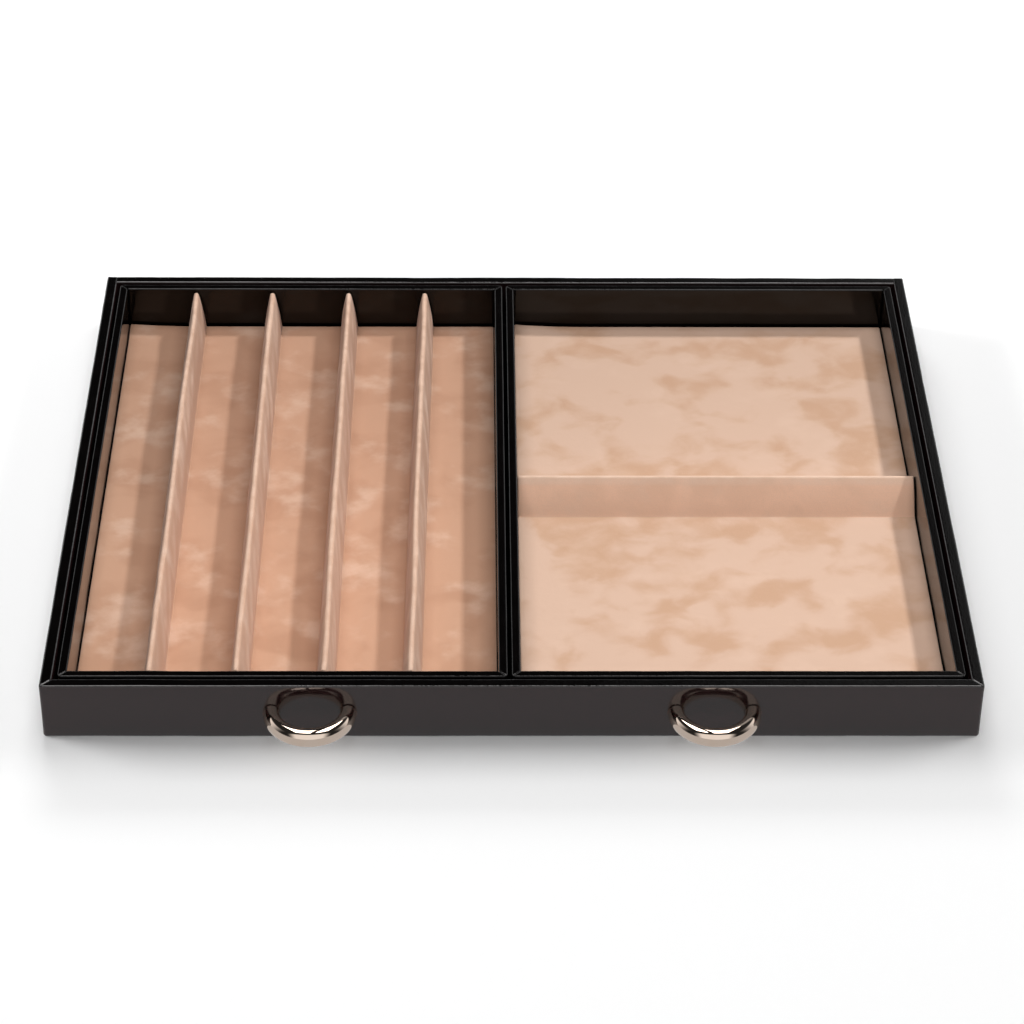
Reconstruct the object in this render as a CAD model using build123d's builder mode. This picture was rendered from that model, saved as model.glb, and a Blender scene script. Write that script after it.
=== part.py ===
from build123d import *
from math import atan2, cos, pi, radians, sin, tan
import os

# A shallow drawer from a jewellery chest, wrapped in leather, with two lift-out trays lined in suede.
# Sizes are in millimetres. The origin is the middle of the drawer's underside.
# +X is to the right, +Z is up, and the front with the two pulls faces -Y.

os.makedirs("parts", exist_ok=True)

# Drawer, over its leather
drawer_width = 300.0
drawer_depth = 240.0
drawer_height = 21.0
drawer_corner_radius = 0.9

# Drawer boards, leather and linings
leather = 0.5
wall_board = 2.8
wall_edge_radius = 1.1
board_edge_radius = 0.7
base_thickness = 1.9
lining_thickness = 0.3

# Half-ring pulls and their screws
pull_spacing = 129.0
pull_height = 10.2
pull_radius = 12.25
pull_bar_width = 5.5
pull_bar_height = 6.4
pull_bar_sides = 24
screw_diameter = 2.0
screw_hole_clearance = 0.2
screw_grip = 4.0
tapped_hole_spare = 0.5
screw_head_diameter = 4.0
screw_head_thickness = 0.9
screw_head_clearance = 0.1

# Trays
tray_side_gap = 1.4
tray_middle_gap = 1.2
tray_split = -0.8
tray_height = 18.1
tray_card = 0.8
tray_corner_radius = 1.3
frame_board = 2.0
frame_edge_radius = 0.9
frame_board_edge_radius = 0.5

# Suede floors
suede = 0.6
floor_card = 0.8
left_floor_gap = 0.35
right_floor_gap = 0.9
floor_end_gap = 1.1
floor_edge_radius = 0.4

# Upright folds of the suede, over stiff cores
fold_height = 15.0
fold_foot = 0.6
fold_tip = 0.9
fold_tip_drop = 0.7
flank_swell = 4.0
core_tip = 0.5
pleat_count = 4
pleat_pitch = 28.2
pleat_base = 6.2
pleat_shift = -0.7
pleat_lean = 0.33
divider_height = 9.5
divider_tip_drop = 0.35
divider_base = 21.6
divider_place = 1.7

# Worked out for the drawer
wall = wall_board + 2 * leather
board_top = drawer_height - leather
base_top = leather + base_thickness
drawer_floor = base_top + lining_thickness
half_width = drawer_width / 2
half_depth = drawer_depth / 2
drawer_x = (-half_width, half_width)
drawer_y = (-half_depth, half_depth)
mitre_reach = 2 * wall
back_width = drawer_width - 2 * wall
front_board_back = -half_depth + leather + wall_board
pull_places = {"left": -pull_spacing / 2, "right": pull_spacing / 2}

# Worked out for the trays and their floors
frame_wall = frame_board + 2 * leather
card_top = drawer_floor + tray_card
tray_top = drawer_floor + tray_height
floor_card_top = card_top + floor_card
floor_top = floor_card_top + suede
tray_y = (-half_depth + wall + tray_side_gap, half_depth - wall - tray_side_gap)
left_tray_x = (-half_width + wall + tray_side_gap, tray_split - tray_middle_gap / 2)
right_tray_x = (tray_split + tray_middle_gap / 2, half_width - wall - tray_side_gap)
floor_y = (tray_y[0] + frame_wall + floor_end_gap, tray_y[1] - frame_wall - floor_end_gap)
left_floor_inset = frame_wall + left_floor_gap
left_floor_x = (left_tray_x[0] + left_floor_inset, left_tray_x[1] - left_floor_inset)
right_floor_inset = frame_wall + right_floor_gap
right_floor_x = (right_tray_x[0] + right_floor_inset, right_tray_x[1] - right_floor_inset)


def save(builder, name):
    """Label a finished piece and write it as its own file."""
    builder.part.label = name
    export_step(builder.part, f"parts/{name}.step")


def slab(x_span, y_span, bottom, top, inset=0.0):
    """Flat rectangular sheet or board over a plan area, drawn in by an inset on all four sides."""
    with BuildPart() as sheet:
        with BuildSketch(Plane.XY.offset(bottom)):
            with Locations((sum(x_span) / 2, sum(y_span) / 2)):
                Rectangle(x_span[1] - x_span[0] - 2 * inset, y_span[1] - y_span[0] - 2 * inset)
        extrude(amount=top - bottom)
    return sheet


def strip_section(outer, thickness, bottom, top, edge_radius):
    """Section of an upright strip with a rounded top; outer is how far in from the side it starts."""
    with BuildSketch() as section:
        with Locations((outer + thickness / 2, (bottom + top) / 2)):
            Rectangle(thickness, top - bottom)
        fillet(section.vertices().group_by(Axis.Y)[-1], edge_radius)
    return section.sketch


def side_plane(side, x_span, y_span):
    """Plane on a side's outer face: its x axis points inward and its normal runs along the side."""
    x_middle = sum(x_span) / 2
    y_middle = sum(y_span) / 2
    if side == "front":
        return Plane((x_middle, y_span[0], 0), x_dir=(0, 1, 0), z_dir=(1, 0, 0))
    if side == "back":
        return Plane((x_middle, y_span[1], 0), x_dir=(0, -1, 0), z_dir=(-1, 0, 0))
    if side == "left":
        return Plane((x_span[0], y_middle, 0), x_dir=(1, 0, 0), z_dir=(0, -1, 0))
    return Plane((x_span[1], y_middle, 0), x_dir=(-1, 0, 0), z_dir=(0, 1, 0))


def mitred_plan(side, x_span, y_span, reach, back_reach):
    """Plan of one side's share of a frame. A back reach of 0 makes a side end square at the back."""
    x0, x1 = x_span
    y0, y1 = y_span
    if side == "front":
        return [(x0, y0), (x1, y0), (x1 - reach, y0 + reach), (x0 + reach, y0 + reach)]
    if side == "back":
        return [(x1, y1), (x0, y1), (x0 + reach, y1 - reach), (x1 - reach, y1 - reach)]
    if side == "left":
        return [(x0, y1), (x0, y0), (x0 + reach, y0 + reach), (x0 + reach, y1 - back_reach)]
    return [(x1, y0), (x1, y1), (x1 - reach, y1 - back_reach), (x1 - reach, y0 + reach)]


def side_strip(side, section, x_span, y_span, reach, back_reach, corner_radius=0.0):
    """Run a section along one side of a rectangular frame and cut its ends to the side's plan."""
    length = max(x_span[1] - x_span[0], y_span[1] - y_span[0])
    with BuildPart() as strip:
        with BuildSketch(side_plane(side, x_span, y_span).offset(-length / 2)):
            add(section)
        extrude(amount=length)
        with BuildSketch(Plane.XY):
            with BuildLine():
                Polyline(*mitred_plan(side, x_span, y_span, reach, back_reach), close=True)
            make_face()
            if corner_radius > 0:
                with Locations((sum(x_span) / 2, sum(y_span) / 2)):
                    RectangleRounded(
                        x_span[1] - x_span[0], y_span[1] - y_span[0], corner_radius, mode=Mode.INTERSECT
                    )
        extrude(amount=drawer_height, mode=Mode.INTERSECT)
    return strip


def hollowed(strip, inner_pieces):
    """Leather over a strip: the strip's outside, hollowed by the pieces that the leather covers."""
    with BuildPart() as wrap:
        add(strip.part)
        for piece in inner_pieces:
            add(piece.part, mode=Mode.SUBTRACT)
    return wrap


# Base board between the wall boards, the lining on top of it, and the lining sheet under it
board_inset = leather + wall_board
base_board = slab(drawer_x, drawer_y, leather, base_top, inset=board_inset)
save(base_board, "base_board")

drawer_lining = slab(drawer_x, drawer_y, base_top, drawer_floor, inset=board_inset)
save(drawer_lining, "drawer_lining")

underside_lining = slab(drawer_x, drawer_y, 0, leather, inset=wall)
save(underside_lining, "underside_lining")

# Front, left and right wall boards: mitred at the front, square at the back behind a leather end cap
wall_board_section = strip_section(leather, wall_board, leather, board_top, board_edge_radius)
board_y = (-half_depth, half_depth - leather)
left_board = side_strip("left", wall_board_section, drawer_x, board_y, mitre_reach, 0)
right_board = side_strip("right", wall_board_section, drawer_x, board_y, mitre_reach, 0)
save(left_board, "left_board")
save(right_board, "right_board")

# The front board takes two screws for each pull, their heads sunk into its back
screw_places = [
    (place + side * pull_radius, pull_height) for place in pull_places.values() for side in (-1, 1)
]
plain_front_board = side_strip("front", wall_board_section, drawer_x, drawer_y, mitre_reach, mitre_reach)
with BuildPart() as front_board:
    add(plain_front_board.part)
    with Locations(Plane((0, front_board_back, 0), x_dir=(-1, 0, 0), z_dir=(0, 1, 0))):
        with Locations(*screw_places):
            CounterBoreHole(
                radius=(screw_diameter + screw_hole_clearance) / 2,
                counter_bore_radius=screw_head_diameter / 2 + screw_head_clearance,
                counter_bore_depth=screw_head_thickness + screw_head_clearance,
                depth=wall_board,
            )
save(front_board, "front_board")

# The back board stands between the side walls
with BuildPart() as back_board:
    with BuildSketch(side_plane("back", drawer_x, drawer_y).offset(-back_width / 2)):
        add(wall_board_section)
    extrude(amount=back_width)
save(back_board, "back_board")

# Leather over the drawer's walls: mitred at the front corners and turned in under the boards
base_pieces = [base_board, drawer_lining]
wrap_section = strip_section(0, wall, 0, drawer_height, wall_edge_radius)
left_strip = side_strip("left", wrap_section, drawer_x, drawer_y, mitre_reach, 0, drawer_corner_radius)
left_leather = hollowed(left_strip, [left_board] + base_pieces)
save(left_leather, "left_leather")

right_strip = side_strip("right", wrap_section, drawer_x, drawer_y, mitre_reach, 0, drawer_corner_radius)
right_leather = hollowed(right_strip, [right_board] + base_pieces)
save(right_leather, "right_leather")

front_strip = side_strip(
    "front", wrap_section, drawer_x, drawer_y, mitre_reach, mitre_reach, drawer_corner_radius
)
plain_front_leather = hollowed(front_strip, [plain_front_board] + base_pieces)
with BuildPart() as front_leather:
    add(plain_front_leather.part)
    with BuildSketch(Plane.XZ.offset(half_depth)):
        with Locations(*screw_places):
            Circle((screw_diameter + screw_hole_clearance) / 2)
    extrude(amount=-leather, mode=Mode.SUBTRACT)
save(front_leather, "front_leather")

# The back's leather runs between the side walls
with BuildPart() as back_leather:
    with BuildSketch(side_plane("back", drawer_x, drawer_y).offset(-back_width / 2)):
        add(wrap_section)
    extrude(amount=back_width)
    for piece in [back_board] + base_pieces:
        add(piece.part, mode=Mode.SUBTRACT)
save(back_leather, "back_leather")

# Half-ring pulls: an oval bar turned through half a circle, its flat ends tapped for the screws.
# The oval has many short sides, so that the turned bar keeps to plain cones.
oval_turns = [2 * pi * (number + 0.5) / pull_bar_sides for number in range(pull_bar_sides)]
oval = [(pull_bar_width / 2 * cos(turn), pull_bar_height / 2 * sin(turn)) for turn in oval_turns]
for name, place in pull_places.items():
    with BuildPart() as pull:
        with BuildSketch(Plane.XZ.offset(half_depth)):
            with Locations((place + pull_radius, pull_height)):
                Polygon(*oval, align=None)
        revolve(axis=Axis((place, -half_depth, pull_height), (0, 0, -1)), revolution_arc=180)
        with BuildSketch(Plane.XZ.offset(half_depth)):
            with Locations((place - pull_radius, pull_height), (place + pull_radius, pull_height)):
                Circle(screw_diameter / 2)
        extrude(amount=screw_grip + tapped_hole_spare, mode=Mode.SUBTRACT)
    save(pull, f"{name}_pull")

# Pull screws: a flat head sunk in the front board, and a shank through board and leather into the pull
head_seat = front_board_back - screw_head_thickness - screw_head_clearance
shank_length = head_seat + half_depth + screw_grip
for number, (x, z) in enumerate(screw_places, start=1):
    with BuildPart() as screw:
        with BuildSketch(Plane.XZ.offset(-head_seat)):
            with Locations((x, z)):
                Circle(screw_diameter / 2)
        extrude(amount=shank_length)
        with BuildSketch(Plane.XZ.offset(-head_seat)):
            with Locations((x, z)):
                Circle(screw_head_diameter / 2)
        extrude(amount=-screw_head_thickness)
    save(screw, f"pull_screw_{number}")


def tray_frame(name, x_span):
    """One tray's base card, its four frame boards and the leather over each of them."""
    card = slab(x_span, tray_y, drawer_floor, card_top, inset=leather)
    save(card, f"{name}_tray_card")
    reach = 2 * frame_wall
    board_section = strip_section(
        leather, frame_board, card_top, tray_top - leather, frame_board_edge_radius
    )
    outer_section = strip_section(0, frame_wall, drawer_floor, tray_top, frame_edge_radius)
    for side in ("front", "back", "left", "right"):
        board = side_strip(side, board_section, x_span, tray_y, reach, reach)
        save(board, f"{name}_tray_{side}_board")
        strip = side_strip(side, outer_section, x_span, tray_y, reach, reach, tray_corner_radius)
        cover = hollowed(strip, [board, card])
        save(cover, f"{name}_tray_{side}_leather")


tray_frame("left", left_tray_x)
tray_frame("right", right_tray_x)


def fold_section(half_base, height, tip_drop):
    """Section of a fold of the suede: hollow feet, slightly swelling flanks and a small round tip."""
    shoulder = height - tip_drop
    steepness = atan2(shoulder, half_base - fold_tip) + radians(flank_swell)
    foot_rise = fold_foot * tan(steepness / 2)
    with BuildSketch() as section:
        with BuildLine():
            Line((half_base + fold_foot, 0), (-half_base - fold_foot, 0))
            TangentArc((-half_base - fold_foot, 0), (-half_base, foot_rise), tangent=(1, 0))
            TangentArc(
                (-half_base, foot_rise), (-fold_tip, shoulder), tangent=(cos(steepness), sin(steepness))
            )
            ThreePointArc((-fold_tip, shoulder), (0, height), (fold_tip, shoulder))
            TangentArc(
                (half_base, foot_rise), (fold_tip, shoulder), tangent=(-cos(steepness), sin(steepness))
            )
            TangentArc((half_base + fold_foot, 0), (half_base, foot_rise), tangent=(-1, 0))
        make_face()
    return section.sketch


def core_section(half_base, straight, height, tip_drop):
    """Section of the stiff core in a fold: short upright feet, then flanks that swell like the fold's."""
    shoulder = height - tip_drop
    steepness = atan2(shoulder - straight, half_base - core_tip) + radians(flank_swell)
    with BuildSketch() as section:
        with BuildLine():
            Polyline((-half_base, straight), (-half_base, 0), (half_base, 0), (half_base, straight))
            TangentArc(
                (-half_base, straight), (-core_tip, shoulder), tangent=(cos(steepness), sin(steepness))
            )
            ThreePointArc((-core_tip, shoulder), (0, height), (core_tip, shoulder))
            TangentArc(
                (half_base, straight), (core_tip, shoulder), tangent=(-cos(steepness), sin(steepness))
            )
        make_face()
    return section.sketch


def upright_run(section, start, end):
    """Run an upright section along a level line from start to end, its ends left parallel to a wall."""
    way = Vector(end[0] - start[0], end[1] - start[1], 0)
    facing = Vector(0, -1, 0) if abs(way.Y) > abs(way.X) else Vector(1, 0, 0)
    across = Vector(1, 0, 0) if abs(way.Y) > abs(way.X) else Vector(0, 1, 0)
    with BuildPart() as run:
        with BuildSketch(Plane(start, x_dir=across, z_dir=facing)):
            add(section)
        extrude(amount=way.length, dir=way)
    return run


def suede_sheet(x_span, card, folds, cores):
    """The suede over a floor card and its cores: flat between the folds and turned down at the rim."""
    with BuildPart() as sheet:
        with BuildSketch(Plane.XY.offset(card_top)):
            with Locations((sum(x_span) / 2, sum(floor_y) / 2)):
                Rectangle(x_span[1] - x_span[0], floor_y[1] - floor_y[0])
        extrude(amount=floor_top - card_top)
        fillet(sheet.edges().group_by(Axis.Z)[-1], floor_edge_radius)
        for piece in folds:
            add(piece.part)
        for piece in [card] + cores:
            add(piece.part, mode=Mode.SUBTRACT)
    return sheet


# Left tray's floor: one suede sheet folded up over four cores that run front to back
left_floor_card = slab(left_floor_x, floor_y, card_top, floor_card_top, inset=suede)
save(left_floor_card, "left_floor_card")

first_pleat = sum(left_floor_x) / 2 + pleat_shift - (pleat_count - 1) * pleat_pitch / 2
pleat_folds = []
pleat_cores = []
for number in range(pleat_count):
    middle = first_pleat + number * pleat_pitch
    lean = number * pleat_lean
    slope = 2 * lean / (floor_y[1] - floor_y[0])
    fold = upright_run(
        fold_section(pleat_base / 2, fold_height, fold_tip_drop),
        (middle - lean, floor_y[0], floor_top),
        (middle + lean, floor_y[1], floor_top),
    )
    core = upright_run(
        core_section(pleat_base / 2 - suede, suede + fold_foot, fold_height, fold_tip_drop),
        (middle - lean + slope * suede, floor_y[0] + suede, floor_card_top),
        (middle + lean - slope * suede, floor_y[1] - suede, floor_card_top),
    )
    pleat_folds.append(fold)
    pleat_cores.append(core)
    save(core, f"pleat_core_{number + 1}")

left_suede = suede_sheet(left_floor_x, left_floor_card, pleat_folds, pleat_cores)
save(left_suede, "left_suede")

# Right tray's floor: one suede sheet folded up once, over a core that runs across the tray
right_floor_card = slab(right_floor_x, floor_y, card_top, floor_card_top, inset=suede)
save(right_floor_card, "right_floor_card")

divider_fold = upright_run(
    fold_section(divider_base / 2, divider_height, divider_tip_drop),
    (right_floor_x[0], divider_place, floor_top),
    (right_floor_x[1], divider_place, floor_top),
)
divider_core = upright_run(
    core_section(divider_base / 2 - 1.3 * suede, suede, divider_height, divider_tip_drop),
    (right_floor_x[0] + suede, divider_place, floor_card_top),
    (right_floor_x[1] - suede, divider_place, floor_card_top),
)
save(divider_core, "divider_core")

right_suede = suede_sheet(right_floor_x, right_floor_card, [divider_fold], [divider_core])
save(right_suede, "right_suede")
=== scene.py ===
import math
import random

import bmesh
import bpy
from bpy.props import FloatProperty, FloatVectorProperty, IntProperty, PointerProperty
from mathutils import Matrix, Vector, noise


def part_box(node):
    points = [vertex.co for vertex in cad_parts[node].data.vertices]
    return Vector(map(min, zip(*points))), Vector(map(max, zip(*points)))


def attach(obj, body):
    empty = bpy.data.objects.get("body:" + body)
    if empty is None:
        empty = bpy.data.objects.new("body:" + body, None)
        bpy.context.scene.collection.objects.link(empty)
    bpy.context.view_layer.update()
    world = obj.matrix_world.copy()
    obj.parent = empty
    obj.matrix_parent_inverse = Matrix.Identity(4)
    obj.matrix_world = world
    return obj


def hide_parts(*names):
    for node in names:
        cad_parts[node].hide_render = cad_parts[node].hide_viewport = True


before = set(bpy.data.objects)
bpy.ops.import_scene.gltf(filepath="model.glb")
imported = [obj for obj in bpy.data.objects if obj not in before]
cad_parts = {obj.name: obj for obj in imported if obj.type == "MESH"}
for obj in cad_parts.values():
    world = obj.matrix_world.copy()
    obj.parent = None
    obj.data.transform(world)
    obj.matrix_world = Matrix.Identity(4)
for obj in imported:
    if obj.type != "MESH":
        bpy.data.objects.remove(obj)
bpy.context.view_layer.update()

bl_info = {
    "name": "Jewellery Drawer",
    "version": (1, 0, 0),
    "blender": (4, 5, 0),
    "location": "View3D > Sidebar > Drawer",
    "description": "Covers, lines and lights a shallow jewellery drawer with two lift-out trays",
    "category": "Add Mesh",
}

# Lengths are in metres, as in the frame. MM turns a size written in millimetres into metres.
MM = 0.001
X, Y, Z = 0, 1, 2


def span(low_node, high_node, axis):
    """From the low side of one piece to the high side of another, along an axis."""
    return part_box(low_node)[0][axis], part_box(high_node)[1][axis]


# The drawer's walls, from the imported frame
drawer_x = span("left_leather", "right_leather", X)
drawer_y = span("front_leather", "left_leather", Y)
drawer_z = span("front_leather", "front_leather", Z)
leather_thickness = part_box("front_board")[0].y - drawer_y[0]
wall_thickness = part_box("front_leather")[1].y - drawer_y[0]
wall_inside_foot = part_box("drawer_lining")[1].z

# The suede's thickness and the level of its flat parts
suede_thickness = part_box("left_floor_card")[0].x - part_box("left_suede")[0].x
suede_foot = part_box("left_suede")[0].z
suede_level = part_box("left_floor_card")[1].z + suede_thickness
PLEAT_CORES = ["pleat_core_1", "pleat_core_2", "pleat_core_3", "pleat_core_4"]


def screen_colour(red, green, blue):
    """A colour written as it looks on a screen, 0 to 255, turned into linear values."""
    shares = [value / 255 for value in (red, green, blue)]
    return tuple(share / 12.92 if share < 0.04045 else ((share + 0.055) / 1.055) ** 2.4 for share in shares)


def length(name, description, default):
    """A length that a user may change, written in metres."""
    return FloatProperty(name=name, description=description, default=default, unit="LENGTH", precision=5)


def share(name, description, default):
    """A share from 0 to 1 that a user may change."""
    return FloatProperty(name=name, description=description, default=default, min=0, max=1, subtype="FACTOR")


def bearing(name, description, default):
    """An angle that a user may change."""
    return FloatProperty(name=name, description=description, default=default, subtype="ANGLE")


def position(name, description, default):
    """A place in the room that a user may change, in metres."""
    return FloatVectorProperty(
        name=name, description=description, default=default, subtype="TRANSLATION", unit="LENGTH"
    )


def light_level(name, description, default):
    """How bright something looks, where 1 is white."""
    return FloatProperty(name=name, description=description, default=default, min=0)


def colour(name, description, red, green, blue):
    """A colour that a user may change, given as it looks on a screen."""
    return FloatVectorProperty(
        name=name,
        description=description,
        default=screen_colour(red, green, blue),
        min=0,
        max=1,
        size=3,
        subtype="COLOR",
    )


class DrawerLeather(bpy.types.PropertyGroup):
    """The black leather over the drawer's walls and the trays' frames."""

    wall_edge: length("Wall edge", "Rounding along the top of the drawer's walls", 0.6 * MM)
    frame_edge: length("Frame edge", "Rounding along the top of the trays' frames", 0.55 * MM)
    wall_corner: length("Wall corner", "Rounding of the drawer's upright corners", 0.9 * MM)
    frame_corner: length("Frame corner", "Rounding of the trays' upright corners", 1.3 * MM)
    hem: length("Hem", "Rounding where the leather turns under the walls", 0.6 * MM)
    crease_depth: length("Crease depth", "How far the leather dips where two sides meet", 0.16 * MM)
    crease_width: length("Crease width", "How far the dip reaches from the meeting line", 0.8 * MM)
    waviness: length("Waviness", "How far the pulled leather swells and dips along a side", 0.10 * MM)
    hide: colour("Hide colour", "The leather's own colour on the rims", 4, 3, 3)
    # Painted reflection: the drawer's upright sides are painted lighter than the rims' hide, in place of the
    # pale floor that they reflect.
    upright_hide_and_reflection: colour("Upright hide", "The leather on the drawer's upright sides", 46, 28, 29)
    grain_size: length("Grain size", "Width of one pebble of the leather's grain", 0.55 * MM)


class DrawerSuede(bpy.types.PropertyGroup):
    """The suede floors and their upright folds."""

    pad_edge: length("Pad edge", "Rounding round a suede floor", 0.5 * MM)
    fold_foot: length("Fold foot", "Hollow rounding at the foot of a fold", 0.6 * MM)
    fold_tip: length("Fold tip", "Half the width of a fold at its tip", 0.9 * MM)
    pleat_tip_drop: length("Pleat tip drop", "Height of a pleat's round tip", 0.7 * MM)
    divider_tip_drop: length("Divider tip drop", "Height of the divider's round tip", 0.35 * MM)
    fold_swell: bearing("Fold swell", "How much steeper than straight a flank starts", math.radians(4.0))
    ridge_sway: length("Ridge sway", "How far a pleat's ridge wanders to either side", 0.35 * MM)
    crease_height: length("Crease height", "How far soft creases stand out of a pleat's flank", 0.34 * MM)
    left_nap: colour("Left nap", "Colour of the pleated floor", 204, 162, 135)
    left_patch: colour("Left patches", "Brushed patches of the pleated floor", 191, 148, 121)
    right_nap: colour("Right nap", "Colour of the divided floor", 219, 187, 165)
    right_patch: colour("Right patches", "Brushed patches of the divided floor", 204, 165, 136)
    # Painted bounce light: faces that look to the front are painted lighter and warmer, in place of light
    # thrown back from the floor.
    slope_painted_bounce: colour("Slope nap", "The divider's front slope, where the nap lies warmer", 250, 205, 176)
    # Painted highlight: this pale colour also paints the light along the folds' ridges.
    pale_nap_and_highlight: colour("Pale nap", "Nap that stands up along creases and ridges", 232, 203, 182)
    # Painted shade: the floors' colour is painted darker towards the back, in place of the light falling off
    # there.
    left_back_shade: share("Left dimming", "How much darker the pleated floor's nap lies at the back", 0.27)
    right_back_shade: share("Right dimming", "How much darker the divided floor's nap lies at the back", 0.22)
    left_spread: length("Left spread", "How far the pleated floor is pushed out to each side", 0.1 * MM)
    right_spread: length("Right spread", "How far the divided floor is pushed out to each side", 0.6 * MM)
    corner_lift: length("Corner lift", "How far the back left corner of each floor curls up", 1.0 * MM)


class DrawerPulls(bpy.types.PropertyGroup):
    """The two half-ring pulls."""

    bar_width: length("Bar width", "Width of the bar, measured level", 5.5 * MM)
    bar_height: length("Bar height", "Height of the bar", 6.4 * MM)
    end_rounding: length("End rounding", "Rounding where the bar meets the leather", 0.5 * MM)
    turn_steps: IntProperty(name="Turn steps", description="Steps round the half ring", default=96, min=12)
    bar_steps: IntProperty(name="Bar steps", description="Steps round the bar", default=48, min=12)
    metal: colour("Metal", "Colour of the polished nickel", 241, 223, 209)


class DrawerStudio(bpy.types.PropertyGroup):
    """The camera, the floor and the lights."""

    lens: FloatProperty(name="Lens", description="Focal length on a 36 mm sensor, in mm", default=111.40)
    camera_place: position("Camera place", "Where the camera stands", (-0.01390, -0.89016, 0.66682))
    pitch: bearing("Pitch", "How far the camera looks down from level", 0.64275)
    yaw: bearing("Yaw", "How far the camera looks to the right", 0.0170)
    roll: bearing("Roll", "The camera's turn round its line of sight", 0.0110)
    key_place: position("Key place", "Middle of the lamp that throws the crisp shadows", (0.60, 0.53, 0.82))
    key_size: length("Key size", "Width of the round key lamp", 0.10)
    key_share: share("Key share", "The key lamp's share of the light on a level surface", 0.30)
    top_brightness: light_level("Top brightness", "How bright the two overhead panels look", 4.3)
    sweep_brightness: light_level("Sweep brightness", "How bright the white sweep behind looks", 0.9)
    room_brightness: light_level("Room brightness", "How bright the rest of the room looks", 0.02)
    corner_share: share("Corner share", "Brightness of the room's far right corner, next to the sweep", 0.35)
    table_glow: light_level("Table glow", "How bright the floor looks in the leather and the metal", 0.50)


SETTINGS = {
    "drawer_leather": DrawerLeather,
    "drawer_suede": DrawerSuede,
    "drawer_pulls": DrawerPulls,
    "drawer_studio": DrawerStudio,
}


# Finishes


def new_finish(name, sockets):
    """A material with one plain shader. Its even values go straight onto the shader's own sockets."""
    finish = bpy.data.materials.new(name)
    finish.use_nodes = True
    tree = finish.node_tree
    shader = tree.nodes["Principled BSDF"]
    for socket, value in sockets.items():
        shader.inputs[socket].default_value = value
    return finish, tree, shader


def put(tree, kind, settings=None, inputs=None):
    """Add a node, set its options and set or link its inputs."""
    node = tree.nodes.new("ShaderNode" + kind)
    for option, value in (settings or {}).items():
        setattr(node, option, value)
    for socket, value in (inputs or {}).items():
        if isinstance(value, bpy.types.NodeSocket):
            tree.links.new(value, node.inputs[socket])
        else:
            node.inputs[socket].default_value = value
    return node


def piece_points(tree):
    """Points on the piece in metres, which move with it."""
    return put(tree, "TexCoord").outputs["Object"]


def mottle(tree, points, size, detail=3.0, roughness=0.5, distortion=0.0):
    """Soft cloudy noise from 0 to 1, its clouds about one size across."""
    inputs = {
        "Vector": points,
        "Scale": 1 / size,
        "Detail": detail,
        "Roughness": roughness,
        "Distortion": distortion,
    }
    return put(tree, "TexNoise", inputs=inputs).outputs["Fac"]


def ranged(tree, value, low, high, to_low=0.0, to_high=1.0):
    """Stretch a value's range, with soft ends."""
    inputs = {"Value": value, "From Min": low, "From Max": high, "To Min": to_low, "To Max": to_high}
    return put(tree, "MapRange", {"interpolation_type": "SMOOTHSTEP"}, inputs).outputs["Result"]


def calculated(tree, operation, first, second):
    """One sum, product or the like of two values."""
    return put(tree, "Math", {"operation": operation}, {0: first, 1: second}).outputs[0]


def times(tree, first, second):
    """The product of two values."""
    return calculated(tree, "MULTIPLY", first, second)


def parts(tree, vector):
    """The X, Y and Z of a vector."""
    return put(tree, "SeparateXYZ", inputs={0: vector}).outputs


def facing(tree):
    """The X, Y and Z of the direction that the surface faces."""
    return parts(tree, put(tree, "NewGeometry").outputs["Normal"])


def mixed(tree, factor, first, second):
    """Mix two colours. Either is a colour socket or a plain colour."""
    inputs = {0: factor}
    for socket, value in ((6, first), (7, second)):
        inputs[socket] = value if isinstance(value, bpy.types.NodeSocket) else (*value, 1.0)
    return put(tree, "Mix", {"data_type": "RGBA"}, inputs).outputs[2]


def scaled(tone, factor):
    """A colour made darker or lighter: its red, green and blue times one factor."""
    return tuple(factor * value for value in tone)


def raised(tree, shader, height, distance, strength=1.0, under=None):
    """Give the shader fine relief, on top of any relief below it."""
    inputs = {"Height": height, "Distance": distance, "Strength": strength}
    if under is not None:
        inputs["Normal"] = under
    normal = put(tree, "Bump", inputs=inputs).outputs["Normal"]
    tree.links.new(normal, shader.inputs["Normal"])
    return normal


def lit(tree, kind, strength):
    """An even white glow on a surface or in the world."""
    return put(tree, kind, inputs={"Color": (1.0, 1.0, 1.0, 1.0), "Strength": strength}).outputs[0]


def blended(tree, factor, first, second):
    """Mix two shaders."""
    return put(tree, "MixShader", inputs={0: factor, 1: first, 2: second}).outputs[0]


def seen_directly(tree):
    """1 where the camera sees a surface, also through glass, and 0 where it only lights other things."""
    path = put(tree, "LightPath").outputs
    return calculated(tree, "MAXIMUM", path["Is Camera Ray"], path["Is Transmission Ray"])


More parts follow.
